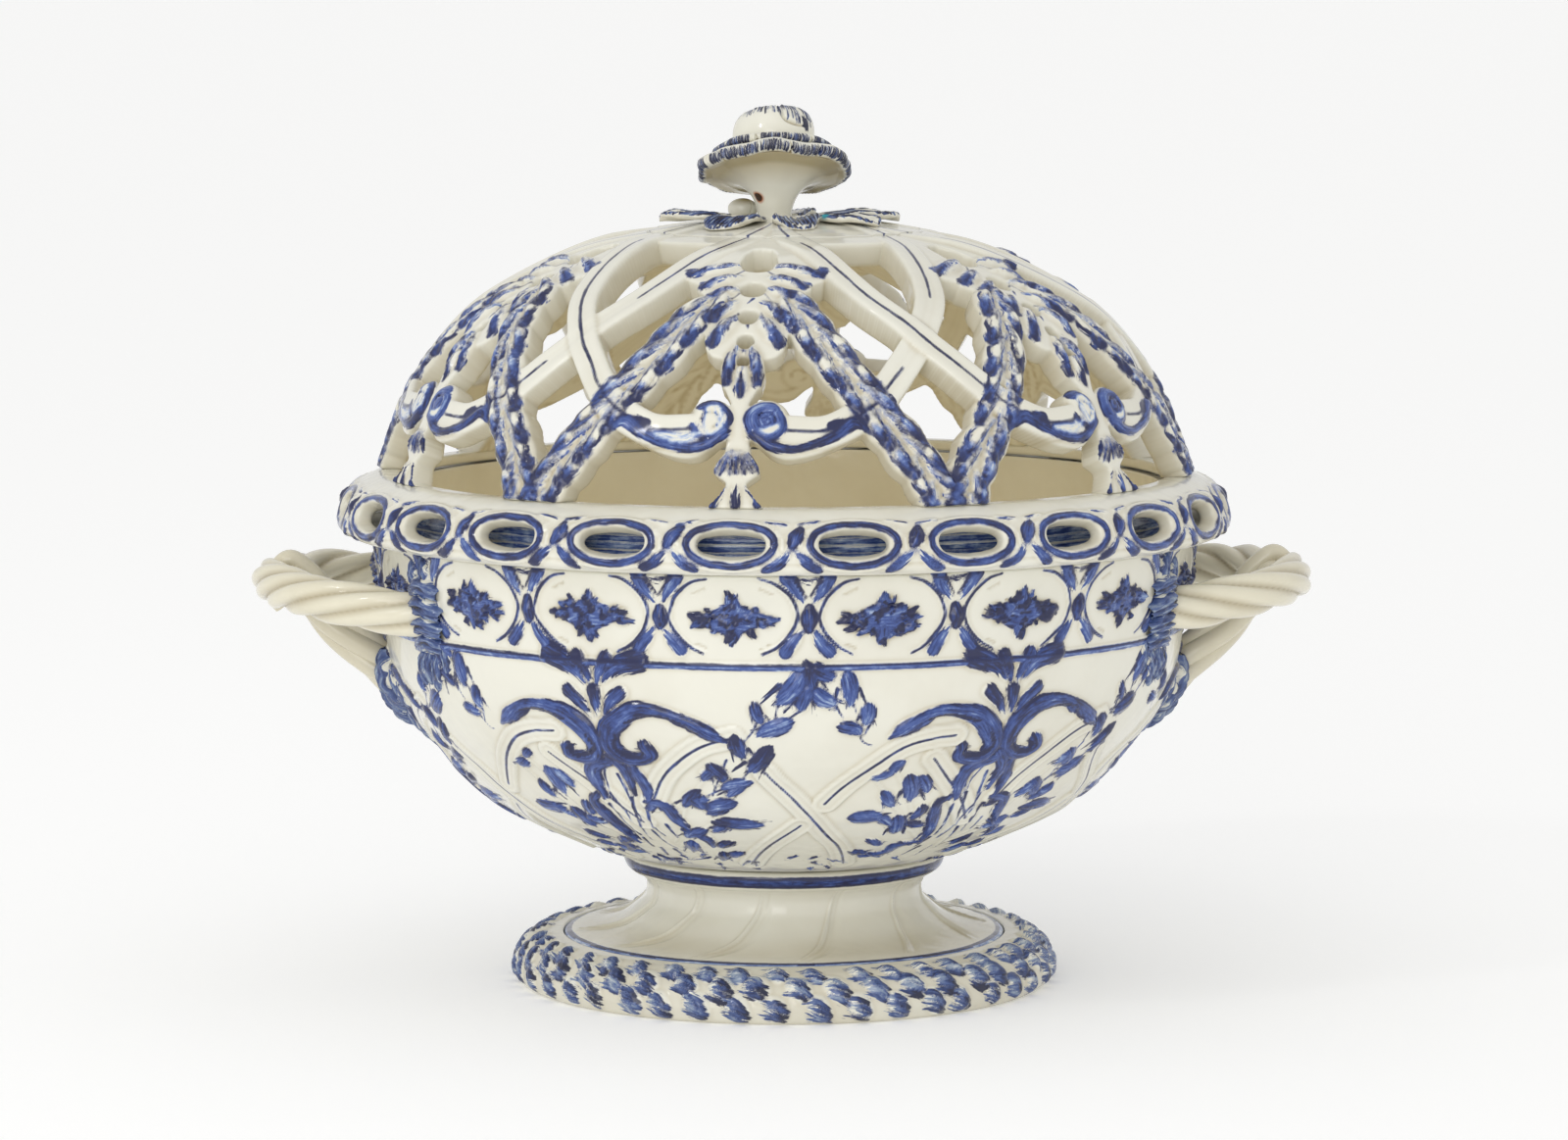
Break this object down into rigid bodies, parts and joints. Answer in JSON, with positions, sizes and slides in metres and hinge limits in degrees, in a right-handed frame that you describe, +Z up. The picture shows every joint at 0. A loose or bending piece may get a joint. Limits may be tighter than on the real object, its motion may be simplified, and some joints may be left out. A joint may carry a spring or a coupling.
{
  "type": "potpourri vase",
  "caption": "Footed potpourri vase with twisted rope handles and a lift-off domed cover, pierced in a ribbon and garland lattice under a flower finial.",
  "frame": {"origin": "centre of the foot's standing ring, on the surface that the vase rests on", "axes": "+Z up through the finial, X through the two handles, -Y towards the front"},
  "size_m": [0.3086, 0.2588, 0.2573],
  "materials": {
    "cream_glaze": "glossy clear glaze over cream earthenware, blue brush lines",
    "cream_rope_glaze": "glossy clear glaze over modelled cream earthenware rope, blue flecks",
    "cobalt_on_cream_glaze": "glossy cream glaze closely painted in cobalt blue",
    "cobalt_glaze": "glossy glaze over modelled leaves painted in strong cobalt blue"
  },
  "bodies": {
    "base": {"foot_leaf_ring": "cobalt_on_cream_glaze", "foot_pedestal": "cream_glaze", "bowl": "cream_glaze", "handle_right_rope": "cream_rope_glaze", "handle_right_prop": "cream_rope_glaze", "handle_right_front_leaves": "cobalt_glaze", "handle_right_back_leaves": "cobalt_glaze", "handle_right_lower_leaves": "cobalt_glaze", "handle_left_rope": "cream_rope_glaze", "handle_left_prop": "cream_rope_glaze", "handle_left_front_leaves": "cobalt_glaze", "handle_left_back_leaves": "cobalt_glaze", "handle_left_lower_leaves": "cobalt_glaze"},
    "cover": {"cover_flange": "cobalt_on_cream_glaze", "cover_crown": "cream_glaze", "cover_palmette_1": "cobalt_on_cream_glaze", "cover_garland_left_1": "cobalt_on_cream_glaze", "cover_garland_right_1": "cobalt_on_cream_glaze", "cover_ribbon_crossing_1": "cream_glaze", "cover_palmette_2": "cobalt_on_cream_glaze", "cover_garland_left_2": "cobalt_on_cream_glaze", "cover_garland_right_2": "cobalt_on_cream_glaze", "cover_ribbon_crossing_2": "cream_glaze", "cover_palmette_3": "cobalt_on_cream_glaze", "cover_garland_left_3": "cobalt_on_cream_glaze", "cover_garland_right_3": "cobalt_on_cream_glaze", "cover_ribbon_crossing_3": "cream_glaze", "cover_palmette_4": "cobalt_on_cream_glaze", "cover_garland_left_4": "cobalt_on_cream_glaze", "cover_garland_right_4": "cobalt_on_cream_glaze", "cover_ribbon_crossing_4": "cream_glaze", "cover_palmette_5": "cobalt_on_cream_glaze", "cover_garland_left_5": "cobalt_on_cream_glaze", "cover_garland_right_5": "cobalt_on_cream_glaze", "cover_ribbon_crossing_5": "cream_glaze", "cover_palmette_6": "cobalt_on_cream_glaze", "cover_garland_left_6": "cobalt_on_cream_glaze", "cover_garland_right_6": "cobalt_on_cream_glaze", "cover_ribbon_crossing_6": "cream_glaze", "finial_stem": "cream_glaze", "flower_brim": "cobalt_on_cream_glaze", "flower_middle_petals": "cobalt_on_cream_glaze", "flower_heart": "cobalt_on_cream_glaze", "calyx_leaf_left": "cobalt_on_cream_glaze", "calyx_leaf_front_left": "cobalt_on_cream_glaze", "calyx_leaf_front": "cobalt_on_cream_glaze", "calyx_leaf_right": "cobalt_on_cream_glaze", "calyx_leaf_back_right": "cobalt_on_cream_glaze", "calyx_leaf_back": "cobalt_on_cream_glaze", "calyx_bud": "cream_glaze"}
  },
  "joints": [
    {"name": "cover_lift", "type": "slide", "parent": "base", "child": "cover", "axis": [0, 0, 1], "range_m": [0, 0.14]}
  ]
}
